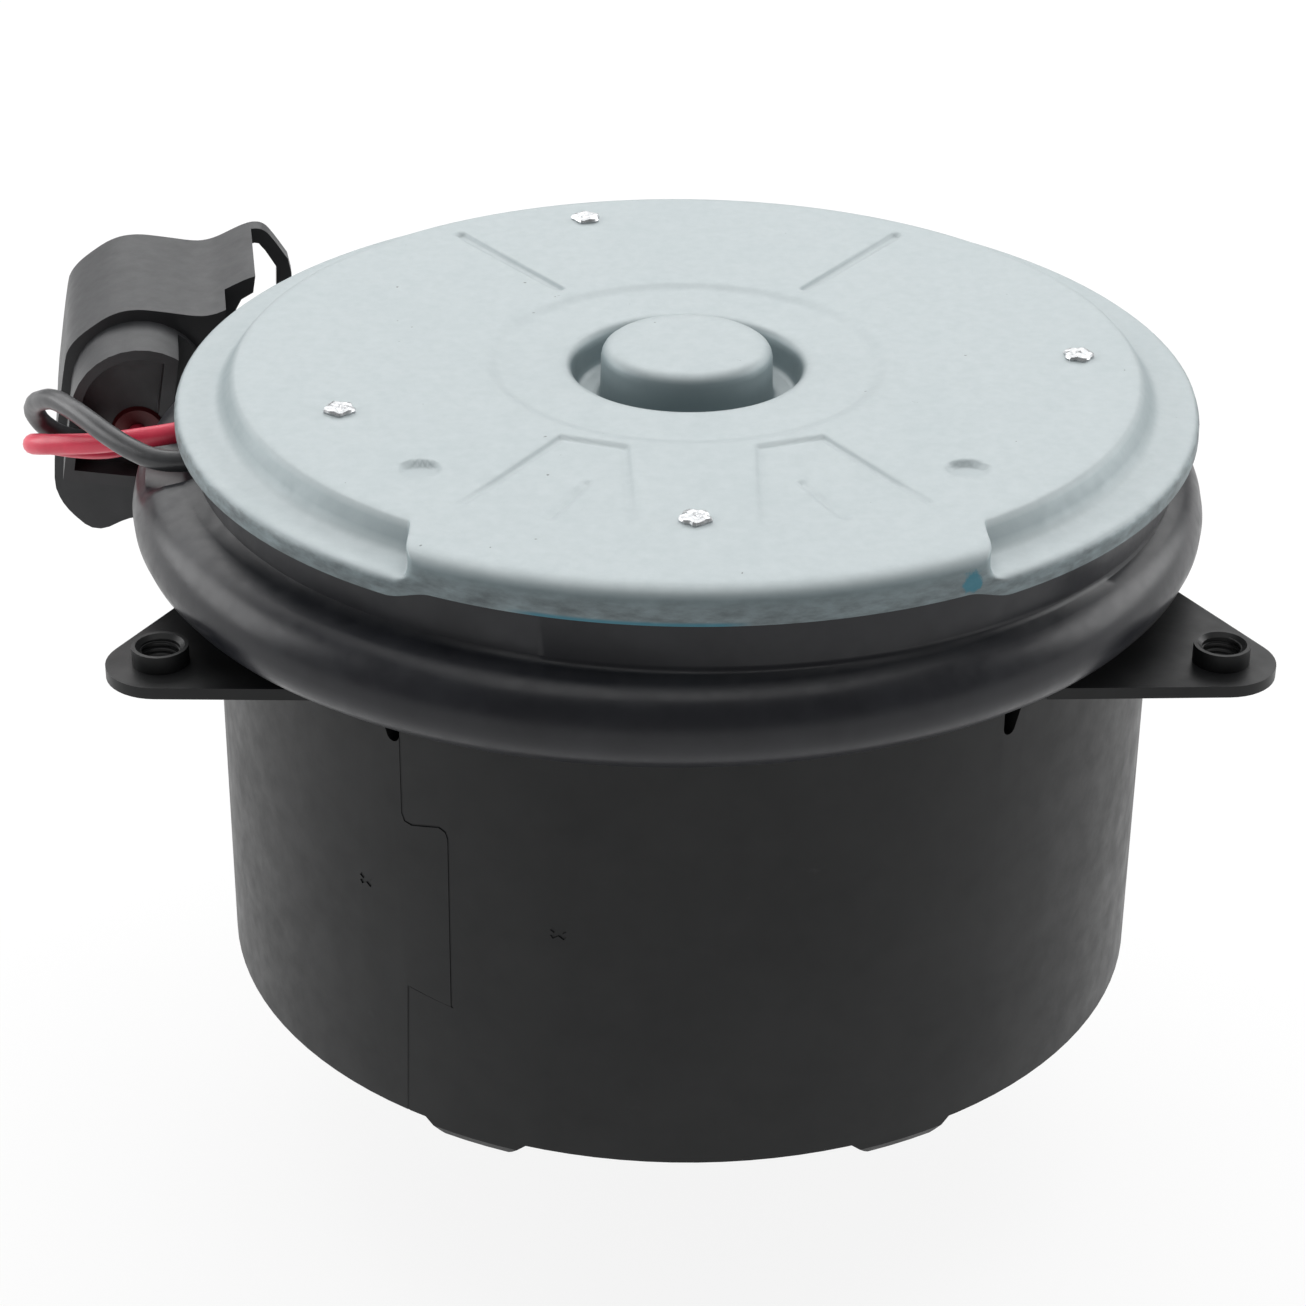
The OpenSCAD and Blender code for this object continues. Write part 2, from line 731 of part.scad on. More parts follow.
// A tall oval as such a shape
module oval(half_w, half_h, y_from, y_to) {
    shift = half_h - half_w;
    through(y_from, y_to) {
        for (s = [-1, 1])
            translate([0, s * shift])
                circle(r = half_w);
        translate([-half_w, -shift])
            square([2 * half_w, 2 * shift]);
    }
}

// The wavy sleeve with the latch's guard drawn into it
module hood() {
    difference() {
        through(0, hood_l)
            polygon(hood_outline);
        translate([9, -1, -25])
            cube([15, guard_from + 1, 50]);
        translate([guard_lip, -2, -26])
            cube([15, guard_bar + 2, 52]);
        through(guard_from - 1, hood_l + 1)
            polygon(guard_window);
    }
}

// The shroud the leads go into, open towards them and cut away on its right
module barrel() {
    difference() {
        intersection() {
            oval(8.3, 13.2, -barrel_l, 1);
            translate([-10, -barrel_l - 1, barrel_low])
                cube([20, barrel_l + 3, 20]);
        }
        intersection() {
            oval(7.1, 12, -barrel_l - 1, recess_y);
            translate([-10, -barrel_l - 2, barrel_low + 1.4])
                cube([12, barrel_l, 20]);
        }
        translate([1.8, -barrel_l - 2, barrel_low + 1.5])
            cube([10, barrel_l + 2.1 + recess_y, 8.2]);
        translate([3.6, -barrel_l - 2, barrel_low + 1.2])
            cube([10, barrel_l + 1, 20]);
    }
}

module connector_housing() color([0.2, 0.2, 0.21]) in_plug() difference() {
    union() {
        hood();
        barrel();
        translate([8, 2, -9])
            cube([pocket_x + 1.6 - 8, 8, 4.5]);
    }
    oval(7.2, 12.6, socket_floor, hood_l + 1);
    translate([pocket_x - 0.1, 3, -7.2])
        cube([5, 8, 1.6]);
    for (p = pins)
        translate([p[0], 0, p[1]])
            rotate([90, 0, 0]) {
                translate([0, 0, -2])
                    cylinder(r = p[2], h = barrel_l + 3);
                translate([0, 0, -socket_floor - 1])
                    cylinder(r = 1.97, h = 8);
            }
}

module connector_latch() color([0.17, 0.17, 0.18]) in_plug() difference() {
    union() {
        translate([10.3, 7.1, -4])
            cylinder(r = 1.15, h = 8);
        translate([latch_x, 7.1, -4])
            cube([1.6, hood_l - 5.1, 8]);
        translate([latch_x, hood_l - 1.6, -4])
            cube([4, 3.2, 8]);
    }
    translate([latch_x - 1, 12, -1.6])
        cube([4, 7, 3.2]);
}

module connector_terminals() color([0.82, 0.8, 0.72]) in_plug() for (p = pins) translate([p[0], 0, p[1]]) {
    rotate([90, 0, 0])
        cylinder(r = 1.9, h = 3.4);
    translate([-0.4, 0, -1.9])
        cube([0.8, socket_floor + 0.4, 3.8]);
    translate([-0.4, socket_floor, -3.1])
        cube([0.8, 12, 6.2]);
}

module wire_seals() color([0.45, 0.08, 0.08]) in_plug() for (p = pins) translate([p[0], 0, p[1]])
    rotate([90, 0, 0])
        turned([
            [lead_r, 3.6], [p[2] - 0.3, 3.6], [p[2], 4.2], [p[2] - 0.2, 4.8], [p[2], 5.4], [p[2] - 0.3, 6],
            [lead_r, 6]
        ]);

module connector_bracket() color([0.62, 0.64, 0.65]) {
    band(yoke_r, yoke_r + foot_t, foot_low, foot_high, foot_a - 6, 12);
    difference() {
        in_plug()
            translate([pocket_x, 3, -7.2])
                cube([26, 6, 1.6]);
        translate([0, 0, foot_low])
            cylinder(r = yoke_r + foot_t / 2, h = foot_high - foot_low + 10);
    }
}

module bracket_rivets() color([0.7, 0.71, 0.72])
    for (z = [foot_low + 2, foot_high - 2])
        at(yoke_r + foot_t, foot_a, z)
            rotate([0, 90, 0])
                cylinder(r1 = 1.5, r2 = 1, h = 0.8);

yoke();
output_bracket();
end_plate();
plate_rivets();
sealing_ring();
lead_grommet();
magnet(0);  // magnet_1
magnet(1);  // magnet_2
magnet(2);  // magnet_3
magnet(3);  // magnet_4
magnet_clips();
brush_card();
brush_tubes();
brush(0);  // brush_1
brush(1);  // brush_2
brush(2);  // brush_3
brush(3);  // brush_4
brush_spring(0);  // brush_spring_1
brush_spring(1);  // brush_spring_2
brush_spring(2);  // brush_spring_3
brush_spring(3);  // brush_spring_4
brush_pigtail(0);  // brush_pigtail_1
brush_pigtail(1);  // brush_pigtail_2
brush_pigtail(2);  // brush_pigtail_3
brush_pigtail(3);  // brush_pigtail_4
bus_positive();
bus_negative();
choke_cores();
choke_coils();
capacitor();
rear_bush();
bush_retainer();
oil_felt();
bearing_outer_race();
bearing_inner_race();
bearing_balls();
bearing_shields();
shaft();
armature_core();
slot_insulators();
armature_winding();
commutator_hub();
commutator_bars();
shaft_spacer();
thrust_washers();
shaft_circlip();
water_slinger();
lead_red();
lead_black();
connector_housing();
connector_latch();
connector_terminals();
wire_seals();
connector_bracket();
bracket_rivets();
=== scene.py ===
"""Looks of a closed-end blower motor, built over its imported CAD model."""

import json
import math

import bmesh
import bpy
import numpy as np
from mathutils import Matrix, Vector


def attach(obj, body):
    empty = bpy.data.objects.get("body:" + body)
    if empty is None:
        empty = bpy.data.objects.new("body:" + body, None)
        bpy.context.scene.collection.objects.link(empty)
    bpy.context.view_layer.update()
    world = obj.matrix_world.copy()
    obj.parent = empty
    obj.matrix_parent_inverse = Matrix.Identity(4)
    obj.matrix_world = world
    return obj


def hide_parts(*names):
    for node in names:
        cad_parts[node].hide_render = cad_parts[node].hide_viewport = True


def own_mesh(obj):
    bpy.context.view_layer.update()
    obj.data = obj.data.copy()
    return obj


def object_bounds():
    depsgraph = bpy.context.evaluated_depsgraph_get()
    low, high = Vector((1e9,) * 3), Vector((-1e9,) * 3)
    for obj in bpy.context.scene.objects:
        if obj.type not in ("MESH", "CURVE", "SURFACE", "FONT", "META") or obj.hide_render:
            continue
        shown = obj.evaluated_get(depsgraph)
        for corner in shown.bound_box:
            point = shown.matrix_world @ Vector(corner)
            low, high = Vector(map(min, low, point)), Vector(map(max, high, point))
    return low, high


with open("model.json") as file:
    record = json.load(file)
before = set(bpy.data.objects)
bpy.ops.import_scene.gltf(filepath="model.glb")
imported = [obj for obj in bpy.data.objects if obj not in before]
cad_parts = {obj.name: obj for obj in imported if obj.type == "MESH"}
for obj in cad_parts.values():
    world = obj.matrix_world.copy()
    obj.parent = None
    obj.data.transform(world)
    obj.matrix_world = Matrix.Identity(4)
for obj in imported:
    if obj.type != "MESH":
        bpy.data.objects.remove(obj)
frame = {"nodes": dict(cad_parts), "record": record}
cad_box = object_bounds()

MM = 0.001
TAU = 2 * math.pi

# Driving sizes of the model, in millimetres and degrees
PLATE_T = 1.2
FACE_Z = 21.9
DISH_Z = 21.5
FRONT_X = 28.7      # half width of the part where the raised face reaches the rim
RING_SHIFT = -2.0   # the soft ring sits off centre, towards the leads
CARD_Z = 9.8
BRUSH_Z = 6.3
BRUSH_BACK = 24.0
SPRING_END = 34.15
BRUSH_ANGLES = (45, 135, 225, 315)
CHOKES = ((36.5, 179.5), (36.5, 189.5))
CHOKE_L = 10.2
CHOKE_Z = 14.8
RIVETS = ((40, -159.3), (40.5, -90.3), (43.5, 0.7), (44, 104.7))
EAR_ANGLES = (-150, -30, 90)
EAR_REACH = 64.3
EAR_TAP_R = 2.1
EAR_TOP = 3.3
LEAD_D = 2.4
RED_ROUTE = (
    (-47, 0.4, 14.8), (-50, 0.4, 14.4), (-53.2, 0.3, 13.7), (-56.6, 0.3, 12.8), (-60.2, 0.9, 11.9),
    (-63.8, 2, 10.9), (-67.4, 3.5, 9.9), (-70.7, 5.3, 9), (-73.3, 7.4, 8), (-74.7, 9.9, 6.9),
    (-74.6, 12.6, 5.7), (-73.1, 14.8, 4.5), (-71, 16.4, 3.4), (-68.7, 18, 2.5), (-66.7, 20, 1.8),
    (-65.5, 22.4, 1.3), (-65, 25.2, 1.1), (-65.2, 28.1, 1.1),
)
BLACK_ROUTE = (
    (-46.6, -7.8, 14.8), (-49.4, -8.3, 14.4), (-52.4, -8.5, 13.8), (-55.4, -8.2, 13.2), (-58.3, -7.2, 13),
    (-61.1, -5.2, 13.2), (-63.9, -2.5, 13.6), (-66.6, 0.7, 14), (-69.1, 4.1, 14), (-71.4, 7.5, 13.5),
    (-73.4, 10.8, 12), (-74.8, 13.7, 10.1), (-75.2, 15.9, 7.9), (-74.3, 17.3, 5.7), (-72.4, 18.7, 3.8),
    (-70.4, 21, 2.4), (-70.3, 23.9, 1.5), (-70.8, 26.8, 1.3),
)


# ---- camera, light and floor ----

def make_camera():
    """The camera stands low in front of the motor and looks down on its closed end."""
    eye = Vector((-10.83, -338.07, 167.85)) * MM
    look = Vector((0.01919, 0.87924, -0.47600)).normalized()
    roll = math.radians(0.517)
    right = look.cross(Vector((0, 0, 1))).normalized()
    up = right.cross(look)
    across = right * math.cos(roll) + up * math.sin(roll)
    upward = up * math.cos(roll) - right * math.sin(roll)
    camera = bpy.data.cameras.new("camera")
    camera.lens = 91.44
    camera.sensor_width = 36
    camera.clip_start = 0.01
    camera.clip_end = 20
    obj = bpy.data.objects.new("camera", camera)
    bpy.context.scene.collection.objects.link(obj)
    turn = Matrix((across, upward, -look)).transposed().to_4x4()
    obj.matrix_world = Matrix.Translation(eye) @ turn
    bpy.context.scene.camera = obj


def area_light(name, place, target, size, power):
    """A soft rectangle of light; size is its width and height."""
    light = bpy.data.lights.new(name, "AREA")
    light.shape = "RECTANGLE"
    light.size, light.size_y = size
    light.energy = power
    obj = bpy.data.objects.new(name, light)
    bpy.context.scene.collection.objects.link(obj)
    obj.location = place
    aim = Vector(target) - Vector(place)
    obj.rotation_euler = aim.to_track_quat("-Z", "Y").to_euler()


def make_studio():
    world = bpy.data.worlds.new("studio")
    world.use_nodes = True
    background = world.node_tree.nodes["Background"]
    background.inputs["Color"].default_value = (1, 1, 1, 1)
    background.inputs["Strength"].default_value = 0.2
    bpy.context.scene.world = world
    bpy.context.scene.view_settings.view_transform = "Standard"
    area_light("overhead", (0, 0.1, 1.5), (0, 0, 0), (1.6, 1.6), 13.0)
    area_light("behind", (0, 1.0, 0.75), (0, 0, 0), (2.2, 0.7), 12.0)
    for side in (-1, 1):
        area_light("side", (side * 1.1, 0.35, 0.4), (0, 0, 0), (0.9, 0.7), 8.0)
    mesh = bpy.data.meshes.new("floor")
    half = 3.0
    low = cad_box[0].z - 0.001
    corners = [(-half, -half, low), (half, -half, low), (half, half, low), (-half, half, low)]
    mesh.from_pydata(corners, [], [(0, 1, 2, 3)])
    floor = bpy.data.objects.new("floor", mesh)
    bpy.context.scene.collection.objects.link(floor)
    table = finish("lit_table", (0.13, 0.13, 0.13), 0.8, Specular_IOR_Level=0.0, Emission_Strength=0.86)
    table.node_tree.nodes["Principled BSDF"].inputs["Emission Color"].default_value = (1, 1, 1, 1)
    mesh.materials.append(table)


# ---- materials ----

def finish(name, colour, rough, metal=0.0, **sockets):
    """A principled material; sockets gives further constants by their input names."""
    made = bpy.data.materials.new(name)
    made.use_nodes = True
    shader = made.node_tree.nodes["Principled BSDF"]
    shader.inputs["Base Color"].default_value = (*colour, 1)
    shader.inputs["Roughness"].default_value = rough
    shader.inputs["Metallic"].default_value = metal
    for key, value in sockets.items():
        shader.inputs[key.replace("_", " ")].default_value = value
    return made


def node(made, kind, **inputs):
    """Adds a node; inputs are values or sockets, by the input's name with _ for a space."""
    tree = made.node_tree
    new = tree.nodes.new(kind)
    for key, value in inputs.items():
        numbered = key[0] == "i" and key[1:].isdigit()
        socket = new.inputs[int(key[1:]) if numbered else key.replace("_", " ")]
        if isinstance(value, bpy.types.NodeSocket):
            tree.links.new(value, socket)
        else:
            socket.default_value = value
    return new


def place_of(made, stretch=(1, 1, 1)):
    """Object coordinates, stretched by direction."""
    coords = node(made, "ShaderNodeTexCoord").outputs["Object"]
    return node(made, "ShaderNodeMapping", Vector=coords, Scale=stretch).outputs["Vector"]


def noise(made, scale, detail=4.0, stretch=(1, 1, 1)):
    """Noise whose features are about 1/scale metres."""
    return node(
        made, "ShaderNodeTexNoise", Vector=place_of(made, stretch), Scale=scale, Detail=detail, Roughness=0.6
    ).outputs["Fac"]


def ramp(made, value, low, high, to_low=0.0, to_high=1.0):
    return node(
        made, "ShaderNodeMapRange", Value=value, From_Min=low, From_Max=high, To_Min=to_low, To_Max=to_high
    ).outputs["Result"]


def mix(made, amount, a, b):
    """Colour a where amount is 0 and b where it is 1."""
    new = made.node_tree.nodes.new("ShaderNodeMix")
    new.data_type = "RGBA"
    for socket, value in ((new.inputs[0], amount), (new.inputs[6], a), (new.inputs[7], b)):
        if isinstance(value, bpy.types.NodeSocket):
            made.node_tree.links.new(value, socket)
        else:
            socket.default_value = value if isinstance(value, float) else (*value, 1)
    return new.outputs[2]


def maths(made, operation, a, b=0.0):
    new = node(made, "ShaderNodeMath", i0=a, i1=b)
    new.operation = operation
    return new.outputs[0]


def drive(made, **sockets):
    """Links outputs to the principled shader's inputs."""
    shader = made.node_tree.nodes["Principled BSDF"]
    for key, value in sockets.items():
        made.node_tree.links.new(value, shader.inputs[key.replace("_", " ")])


def relief(made, *layers):
    """Bump from (height, strength, depth in metres) layers."""
    normal = None
    for height, strength, depth in layers:
        bump = node(made, "ShaderNodeBump", Height=height, Strength=strength, Distance=depth)
        if normal is not None:
            made.node_tree.links.new(normal, bump.inputs["Normal"])
        normal = bump.outputs["Normal"]
    drive(made, Normal=normal)


def tinted(name, dark, light, rough, metal=0.0, scale=600.0, grain=4000.0, bump=0.12, spread=0.12, **sockets):
    """A surface mottled between two colours, with uneven gloss and a fine grain."""
    made = finish(name, light, rough, metal, **sockets)
    drive(made, Base_Color=mix(made, ramp(made, noise(made, scale), 0.3, 0.7), dark, light))
    uneven = noise(made, scale * 2.3)
    drive(made, Roughness=ramp(made, uneven, 0.3, 0.7, rough - spread / 2, rough + spread / 2))
    relief(made, (noise(made, grain, 2.0), bump, 0.00005))
    return made


def away_from_axis(made):
    """Distance of a point from the shaft's axis, in metres."""
    coords = node(made, "ShaderNodeTexCoord").outputs["Object"]
    flat = node(made, "ShaderNodeVectorMath", i0=coords, i1=(1, 1, 0))
    flat.operation = "MULTIPLY"
    length = node(made, "ShaderNodeVectorMath", i0=flat.outputs[0])
    length.operation = "LENGTH"
    return length.outputs["Value"]


def near(made, centre, reach):
    """1 round a place in millimetres, 0 past the reach, with a ragged edge."""
    coords = node(made, "ShaderNodeTexCoord").outputs["Object"]
    away = node(made, "ShaderNodeVectorMath", i0=coords, i1=tuple(MM * value for value in centre))
    away.operation = "DISTANCE"
    ragged = ramp(made, noise(made, 900), 0.3, 0.7, -0.3 * reach * MM, 0.3 * reach * MM)
    return ramp(made, maths(made, "ADD", away.outputs["Value"], ragged), reach * MM, 0.7 * reach * MM)


def zinc_sheet():
    """Matt galvanised sheet: faint spangle, painted shade on sloping walls, and on the rim painted shade with
    grime streaks and blue marks.
    """
    made = finish("zinc_sheet", (0.6, 0.66, 0.67), 0.5, 0.15)
    coords = node(made, "ShaderNodeTexCoord")
    place = node(made, "ShaderNodeSeparateXYZ", Vector=coords.outputs["Object"])
    facing = node(made, "ShaderNodeSeparateXYZ", Vector=coords.outputs["Normal"]).outputs["Z"]
    body = mix(made, ramp(made, noise(made, 900), 0.35, 0.65), (0.41, 0.46, 0.472), (0.432, 0.482, 0.494))
    smudge = ramp(made, noise(made, 70), 0.45, 0.75, 0.0, 0.25)
    body = mix(made, smudge, body, (0.37, 0.43, 0.445))
    # painted shade: the more a face turns away from up, the darker its colour
    steep_wall_shade = ramp(made, facing, 0.95, 0.4, 0.0, 0.72)
    body = mix(made, steep_wall_shade, body, (0.13, 0.185, 0.2))
    fleck = ramp(made, noise(made, 700, 2.0), 0.765, 0.785, 0.0, 0.8)
    body = mix(made, fleck, body, (0.12, 0.13, 0.13))
    # partly painted shade and partly grime: the rim's upright skirt is darkened, in streaks
    outermost = ramp(made, away_from_axis(made), 0.0557, 0.0562)
    rim = maths(made, "MULTIPLY", outermost, ramp(made, facing, 0.9, 0.5))
    streak = noise(made, 350, 5.0, (1, 1, 3))
    rim_shade_and_grime = maths(made, "MULTIPLY", rim, ramp(made, streak, 0.3, 0.7, 0.1, 0.9))
    body = mix(made, rim_shade_and_grime, body, (0.07, 0.085, 0.09))
    front = ramp(made, place.outputs["Y"], -0.05, -0.051)
    low = maths(made, "MULTIPLY", front, ramp(made, place.outputs["Z"], 0.0186, 0.0183))
    left = ramp(made, place.outputs["X"], -0.019, -0.016)
    right = ramp(made, place.outputs["X"], 0.005, 0.002)
    line = maths(made, "MULTIPLY", maths(made, "MULTIPLY", low, left), right)
    blue = maths(made, "MAXIMUM", line, near(made, (26.8, -49.4, 19.3), 1.3))
    blue = maths(made, "MAXIMUM", blue, near(made, (29.4, -45.9, 20.4), 0.8))
    body = mix(made, maths(made, "MULTIPLY", blue, 0.85), body, (0.02, 0.16, 0.22))
    drive(made, Base_Color=body)
    drive(made, Roughness=ramp(made, noise(made, 500), 0.3, 0.7, 0.42, 0.56))
    relief(made, (noise(made, 5200, 2.0), 0.1, 0.00003), (noise(made, 160), 0.12, 0.0002))
    return made


def black_paint():
    """Satin black paint on steel with a slight orange peel, rubbed spots and dust."""
    made = finish("black_paint", (0.01, 0.01, 0.011), 0.42, 0.0, Specular_IOR_Level=0.24)
    worn = ramp(made, noise(made, 260, 8.0), 0.68, 0.76, 0.0, 0.3)
    body = mix(made, ramp(made, noise(made, 90), 0.3, 0.7), (0.009, 0.0095, 0.01), (0.014, 0.0145, 0.015))
    drive(made, Base_Color=mix(made, worn, body, (0.035, 0.035, 0.037)))
    drive(made, Roughness=ramp(made, noise(made, 300), 0.3, 0.7, 0.36, 0.48))
    relief(made, (noise(made, 1600, 2.0), 0.1, 0.00005))
    return made


def soft_black():
    """Moulded soft rubber: satin, with faint flow marks round the bead."""
    made = finish("soft_black", (0.01, 0.01, 0.012), 0.34, 0.0, Specular_IOR_Level=0.35)
    flow = ramp(made, noise(made, 130), 0.35, 0.7)
    drive(made, Base_Color=mix(made, flow, (0.009, 0.0095, 0.0125), (0.016, 0.017, 0.021)))
    drive(made, Roughness=ramp(made, noise(made, 420), 0.3, 0.7, 0.28, 0.4))
    relief(made, (noise(made, 2600, 3.0), 0.1, 0.00004), (noise(made, 90), 0.1, 0.0002))
    return made


def moulded(name, dark, light, rough):
    """Fine-textured moulded plastic."""
    return tinted(name, dark, light, rough, scale=220.0, grain=5200.0, bump=0.18, spread=0.1)


def wound_wire(name, colour, pitch, direction):
    """Enamelled wire laid side by side, as fine ridges across the given direction, with painted shade in the
    grooves between turns.
    """
    made = finish(name, colour, 0.3, 0.75, Coat_Weight=0.5, Coat_Roughness=0.15)
    wave = node(made, "ShaderNodeTexWave", Vector=place_of(made), Scale=1 / pitch, Distortion=1.5, Detail=1.0)
    wave.bands_direction = direction
    # painted shade: the colour darkens towards the grooves between turns
    dark = tuple(c * 0.35 for c in colour)
    drive(made, Base_Color=mix(made, wave.outputs["Fac"], dark, colour))
    relief(made, (wave.outputs["Fac"], 0.6, 0.0003))
    return made


def stacked_sheets():
    """Edges of stacked lamination sheets."""
    made = finish("stacked_sheets", (0.2, 0.21, 0.22), 0.4, 0.8)
    wave = node(made, "ShaderNodeTexWave", Vector=place_of(made), Scale=640.0)
    wave.bands_direction = "Z"
    drive(made, Base_Color=mix(made, wave.outputs["Fac"], (0.1, 0.1, 0.11), (0.27, 0.28, 0.29)))
    relief(made, (wave.outputs["Fac"], 0.4, 0.0001))
    return made


make_camera()
MATERIALS = {
    "black_steel": black_paint(),
    "zinc_steel": zinc_sheet(),
    "bright_steel": tinted("bright_steel", (0.5, 0.51, 0.52), (0.7, 0.71, 0.72), 0.3, 0.8, scale=900.0),
    "soft_black": soft_black(),
    "ferrite": tinted("ferrite", (0.05, 0.05, 0.055), (0.1, 0.1, 0.11), 0.6, 0.2, scale=1500.0, bump=0.25),
    "brown_board": tinted("brown_board", (0.1, 0.045, 0.02), (0.2, 0.09, 0.04), 0.55, scale=1200.0),
    "brass": tinted("brass", (0.45, 0.31, 0.11), (0.68, 0.5, 0.2), 0.32, 0.9),
    "carbon": tinted("carbon", (0.02, 0.02, 0.02), (0.05, 0.048, 0.048), 0.5, 0.3, grain=7000.0),
    "copper": wound_wire("copper", (0.62, 0.24, 0.1), 0.004, "X"),
    "bronze": tinted("bronze", (0.2, 0.12, 0.05), (0.42, 0.28, 0.13), 0.5, 0.7, scale=2500.0, bump=0.3),
    "felt": tinted("felt", (0.35, 0.3, 0.2), (0.52, 0.46, 0.35), 0.95, scale=1800.0, bump=0.8),
    "laminations": stacked_sheets(),
    "slot_paper": tinted("slot_paper", (0.07, 0.16, 0.1), (0.13, 0.25, 0.16), 0.6),
    "nylon": tinted("nylon", (0.55, 0.52, 0.44), (0.66, 0.63, 0.56), 0.4),
    "capacitor_dip": tinted("capacitor_dip", (0.2, 0.035, 0.02), (0.36, 0.07, 0.035), 0.2, scale=300.0),
    "plug_black": moulded("plug_black", (0.03, 0.031, 0.033), (0.042, 0.043, 0.046), 0.48),
    "red_insulation": moulded("red_insulation", (0.62, 0.03, 0.07), (0.78, 0.05, 0.1), 0.38),
    "black_insulation": moulded("black_insulation", (0.03, 0.031, 0.033), (0.055, 0.056, 0.06), 0.36),
    "seal_red": moulded("seal_red", (0.08, 0.006, 0.008), (0.16, 0.014, 0.016), 0.45),
    "tinned": tinted("tinned", (0.6, 0.58, 0.52), (0.78, 0.76, 0.7), 0.25, 0.95),
}
make_studio()


# ---- mesh helpers ----

def piece(name, slot, mesh, body="stator", replaces=(), crease=35.0):
    """Puts a mesh in the scene as a piece: its body, its slot, its material and its hard edges."""
    faces = bmesh.new()
    faces.from_mesh(mesh)
    bmesh.ops.recalc_face_normals(faces, faces=faces.faces)
    limit = math.radians(crease)
    for face in faces.faces:
        face.smooth = True
    bmesh.ops.remove_doubles(faces, verts=faces.verts, dist=0.002 * MM)
    for edge in faces.edges:
        edge.smooth = len(edge.link_faces) == 2 and edge.calc_face_angle(0) < limit
    faces.to_mesh(mesh)
    faces.free()
    obj = bpy.data.objects.new(name, mesh)
    bpy.context.scene.collection.objects.link(obj)
    mesh.materials.append(MATERIALS[slot])
    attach(obj, body)
    if replaces:
        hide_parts(*replaces)
    return obj


def new_mesh(name, points, faces):
    mesh = bpy.data.meshes.new(name)
    mesh.from_pydata((np.asarray(points, float) * MM).tolist(), [], faces)
    return mesh


def joined(name, meshes):
    """One mesh that holds all the given ones."""
    whole = bmesh.new()
    for mesh in meshes:
        whole.from_mesh(mesh)
    result = bpy.data.meshes.new(name)
    whole.to_mesh(result)
    whole.free()
    return result


def turned(degrees):
    """A turn about the shaft's axis."""
    return Matrix.Rotation(math.radians(degrees), 4, "Z")


def arc(centre, radius, start, end, steps=6):
    """Points [across, up] of an arc between two angles in degrees."""
    angles = [math.radians(start + (end - start) * i / steps) for i in range(steps + 1)]
    return [(centre[0] + radius * math.cos(a), centre[1] + radius * math.sin(a)) for a in angles]


# ---- leads ----

def lead(name, slot, route):
    curve = bpy.data.curves.new(name, "CURVE")
    curve.dimensions = "3D"
    curve.bevel_depth = LEAD_D / 2 * MM
    curve.bevel_resolution = 5
    curve.resolution_u = 8
    curve.use_fill_caps = True
    spline = curve.splines.new("BEZIER")
    spline.bezier_points.add(len(route) - 1)
    for knot, place in zip(spline.bezier_points, route):
        knot.co = Vector(place) * MM
        knot.handle_left_type = "AUTO"
        knot.handle_right_type = "AUTO"
    obj = bpy.data.objects.new(name, curve)
    bpy.context.scene.collection.objects.link(obj)
    curve.materials.append(MATERIALS[slot])
    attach(obj, "stator")
    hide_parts(name)
    obj.name = name + "_wire"


lead("lead_red", "red_insulation", RED_ROUTE)
lead("lead_black", "black_insulation", BLACK_ROUTE)


# ---- end plate ----

PANEL = ((23.65, -36.6), (13.85, -20.55), (6.9, -23.1), (6.45, -41.4))
RIB = ((14.8, -40.1), (11, -31.4))
DENT = (28.25, -28.75)
WALL_FROM = 49      # radius where the wall at each end of the raised face begins
WALL_MIDDLE = 57    # angle of the middle of that wall, in degrees
WALL_SPREAD = 5     # how far, in degrees, the mesh's columns are bent to follow it
# Columns of the plate's mesh as start, stop and step in degrees, finer where something is pressed into it
PLATE_RUNS = (
    (-232, -139, 2.25), (-139, -128, 0.6), (-128, -117, 0.25), (-117, -63, 0.6), (-63, -52, 0.25),
    (-52, -41, 0.6), (-41, 52, 2.25), (52, 58, 0.35), (58, 122, 2.25), (122, 127.9, 0.35),
)


def smooth(value, low, high):
    t = np.clip((value - low) / (high - low), 0, 1)
    return t * t * (3 - 2 * t)


def to_line(x, y, a, b):
    """Distance from points to the segment a-b, and how far they lie to its left."""
    along = np.subtract(b, a)
    length = math.hypot(*along)
    share = np.clip(((x - a[0]) * along[0] + (y - a[1]) * along[1]) / length ** 2, 0, 1)
    away = np.hypot(x - a[0] - share * along[0], y - a[1] - share * along[1])
    left = ((y - a[1]) * along[0] - (x - a[0]) * along[1]) / length
    return away, left


def pressed(x, y):
    """How deep the pressings of the raised face lie below it."""
    side = np.abs(x)
    radius = np.hypot(x, y)
    fade = 1 - smooth(radius, 36, 44)
    runs = [to_line(side, y, a, b) for a, b in zip(PANEL, PANEL[1:])]
    inside = np.minimum.reduce([left for away, left in runs])
    nearest = np.minimum.reduce([away for away, left in runs])
    depth = 0.26 * smooth(inside, -0.35, 0.35) * fade * (y < 0)
    depth += 0.2 * np.exp(-(nearest / 0.34) ** 2)
    depth += 0.28 * np.exp(-(to_line(side, y, *RIB)[0] / 0.36) ** 2)
    for angle in (55, 125):
        way = np.array((math.cos(math.radians(angle)), math.sin(math.radians(angle))))
        away = to_line(x, y, 25 * way, 45.7 * way)[0]
        depth += 0.42 * (1 - smooth(away, 0.3, 0.8))
    dent = np.hypot(side - DENT[0], y - DENT[1])
    depth += 0.6 * (1 - smooth(dent, 1.9, 2.3)) * smooth(y - DENT[1], -2.4, 1.9)
    return depth


